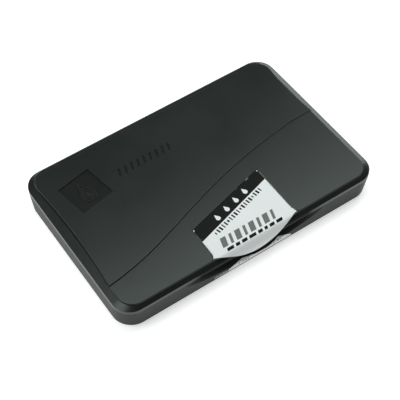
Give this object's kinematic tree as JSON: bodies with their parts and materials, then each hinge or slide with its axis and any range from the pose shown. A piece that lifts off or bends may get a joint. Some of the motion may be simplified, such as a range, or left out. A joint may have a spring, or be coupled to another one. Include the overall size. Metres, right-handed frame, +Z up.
{
  "type": "ink pad",
  "caption": "Hinged plastic office stamp pad: low rectangular case with a thumb tab and scoop, cloth-covered felt pad under a frame, and a paper seal cut at the opening.",
  "frame": {"origin": "centre of the flat underside of the case", "axes": "+X along the case's length, -Y towards the thumb tab, hinge at +Y, +Z up"},
  "size_m": [0.128, 0.0855, 0.0151],
  "materials": {
    "case_plastic": "satin moulded black, fine grain",
    "lid_plastic": "satin moulded black, fine grain",
    "frame_plastic": "smooth moulded black",
    "board": "pressed grey board",
    "felt": "ink-soaked thick felt",
    "fine_felt": "ink-soaked fine felt",
    "pad_cloth": "plain weave, damp with black ink",
    "seal_paper": null,
    "pin_steel": "bright drawn steel"
  },
  "bodies": {
    "base": {"base_tray": "case_plastic", "pad_frame": "frame_plastic", "backing_board": "board", "felt_reservoir": "felt", "felt_top_layer": "fine_felt", "cloth_cover": "pad_cloth", "base_seal": "seal_paper", "hinge_pin_left": "pin_steel", "hinge_pin_right": "pin_steel"},
    "lid": {"lid_shell": "lid_plastic", "lid_seal": "seal_paper"}
  },
  "joints": [
    {"name": "lid_hinge", "type": "hinge", "parent": "base", "child": "lid", "pos_m": [0, 0.04175, 0.0076], "axis": [-1, 0, 0], "range_deg": [0, 180]}
  ]
}
